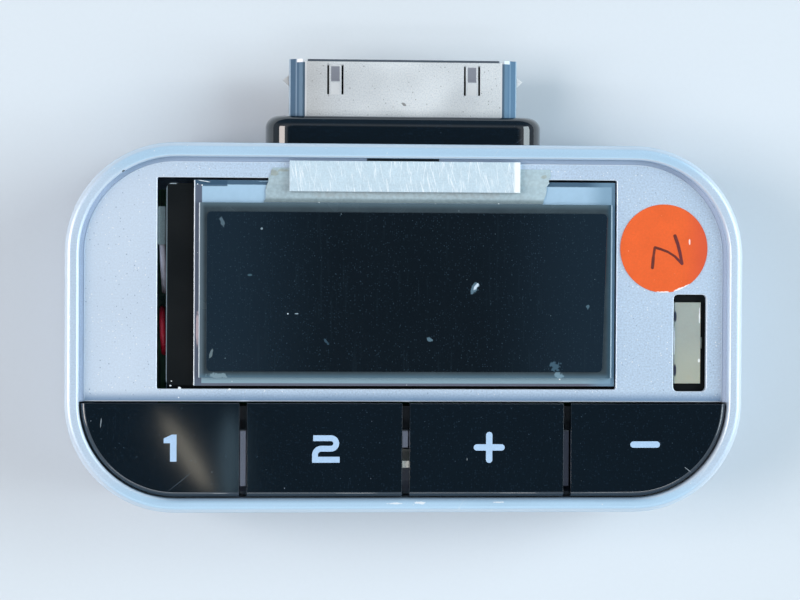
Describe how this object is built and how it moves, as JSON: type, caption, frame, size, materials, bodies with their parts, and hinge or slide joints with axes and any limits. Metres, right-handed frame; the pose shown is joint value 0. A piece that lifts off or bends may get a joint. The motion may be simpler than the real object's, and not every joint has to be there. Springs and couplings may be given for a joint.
{
  "type": "car fm transmitter",
  "caption": "Palm-sized FM transmitter for a music player's dock socket: silver rounded case, display window, key row, indicator slot and sprung steel plug.",
  "frame": {"origin": "centre of the case's flat back face", "axes": "+X along the case's width, to the right seen from the front; +Y towards the plug; +Z out of the front face"},
  "size_m": [0.0618, 0.0415, 0.013],
  "materials": {
    "silver_paint": "satin silver paint over moulded plastic, fine metallic grain",
    "fascia_silver": "satin silver paint, finer and smoother than the rim",
    "gloss_black": "piano black moulded plastic, fine scratches",
    "soft_black": "matt black moulding",
    "legend_print": "pale blue-white print",
    "keymat_rubber": "lilac grey silicone rubber, matt",
    "dome_steel": "thin spring steel",
    "board_green": "green solder mask over glass fibre",
    "lamp_white": "white lamp package",
    "plate_glass": "thin clear glass with ground edges",
    "front_film": "near-black polarising film under a clear coat",
    "rear_film": "silvery reflective polarising film",
    "light_guide": "clear acrylic light guide",
    "reflector_white": "matt white film",
    "flex_film": "amber flexible circuit",
    "clear_tape": "translucent yellowed adhesive tape",
    "strip_white": "white stiffener strip with fine streaks",
    "dot_orange": "orange paper sticker",
    "ink_brown": "dark pen line",
    "pipe_cream": "cream translucent plastic",
    "plug_steel": "satin stainless sheet",
    "contact_brass": "gold flashed contact strip",
    "can_steel": "tinned steel sheet",
    "chip_black": "black chip package",
    "part_brown": "ceramic chip parts with tinned ends",
    "wire_red": "red wire insulation",
    "wire_white": "pinkish white wire insulation",
    "screw_steel": "zinc plated steel"
  },
  "bodies": {
    "housing": {"front_bezel": "silver_paint", "fascia_plate": "fascia_silver", "rear_cover": "silver_paint", "dock_collar": "gloss_black", "key_mat": "keymat_rubber", "key_board": "board_green", "board_header": "soft_black", "key_led": "lamp_white", "lcd_frame": "soft_black", "lcd_lower_glass": "plate_glass", "lcd_upper_glass": "plate_glass", "lcd_front_polariser": "front_film", "lcd_rear_polariser": "rear_film", "backlight_guide": "light_guide", "backlight_reflector": "reflector_white", "backlight_led": "lamp_white", "lcd_flex": "flex_film", "flex_socket": "lamp_white", "fixing_tape": "clear_tape", "tape_strip": "strip_white", "marking_dot": "dot_orange", "marking_digit": "ink_brown", "status_light_pipe": "pipe_cream", "light_pipe_holder": "soft_black", "status_led": "lamp_white", "dock_shell": "plug_steel", "dock_insulator": "soft_black", "dock_contacts": "contact_brass", "main_board": "board_green", "shield_can": "can_steel", "transmitter_chip": "chip_black", "controller_chip": "chip_black", "crystal_can": "can_steel", "passives": "part_brown", "inductors": "chip_black", "antenna_wire": "wire_red", "supply_wire": "wire_white", "case_screws": "screw_steel", "key_skirt_one": "keymat_rubber", "snap_dome_one": "dome_steel", "key_skirt_two": "keymat_rubber", "snap_dome_two": "dome_steel", "key_skirt_plus": "keymat_rubber", "snap_dome_plus": "dome_steel", "key_skirt_minus": "keymat_rubber", "snap_dome_minus": "dome_steel"},
    "key_one": {"keycap_one": "gloss_black", "legend_one": "legend_print", "key_pad_one": "keymat_rubber"},
    "key_two": {"keycap_two": "gloss_black", "legend_two": "legend_print", "key_pad_two": "keymat_rubber"},
    "key_plus": {"keycap_plus": "gloss_black", "legend_plus": "legend_print", "key_pad_plus": "keymat_rubber"},
    "key_minus": {"keycap_minus": "gloss_black", "legend_minus": "legend_print", "key_pad_minus": "keymat_rubber"},
    "latch_left": {"dock_latch_left": "plug_steel"},
    "latch_right": {"dock_latch_right": "plug_steel"}
  },
  "joints": [
    {"name": "key_one_press", "type": "slide", "parent": "housing", "child": "key_one", "axis": [0, 0, -1], "range_m": [0, 0.00035], "stiffness_N_per_m": 2000, "deforming": ["key_skirt_one", "snap_dome_one"]},
    {"name": "key_two_press", "type": "slide", "parent": "housing", "child": "key_two", "axis": [0, 0, -1], "range_m": [0, 0.00035], "stiffness_N_per_m": 2000, "deforming": ["key_skirt_two", "snap_dome_two"]},
    {"name": "key_plus_press", "type": "slide", "parent": "housing", "child": "key_plus", "axis": [0, 0, -1], "range_m": [0, 0.00035], "stiffness_N_per_m": 2000, "deforming": ["key_skirt_plus", "snap_dome_plus"]},
    {"name": "key_minus_press", "type": "slide", "parent": "housing", "child": "key_minus", "axis": [0, 0, -1], "range_m": [0, 0.00035], "stiffness_N_per_m": 2000, "deforming": ["key_skirt_minus", "snap_dome_minus"]},
    {"name": "latch_left_flex", "type": "hinge", "parent": "housing", "child": "latch_left", "pos_m": [-0.0093, 0.01355, 0.0065], "axis": [0, 0, -1], "range_deg": [0, 4.2], "stiffness_Nm_per_rad": 0.05},
    {"name": "latch_right_flex", "type": "hinge", "parent": "housing", "child": "latch_right", "pos_m": [0.0093, 0.01355, 0.0065], "axis": [0, 0, 1], "range_deg": [0, 4.2], "stiffness_Nm_per_rad": 0.05}
  ]
}
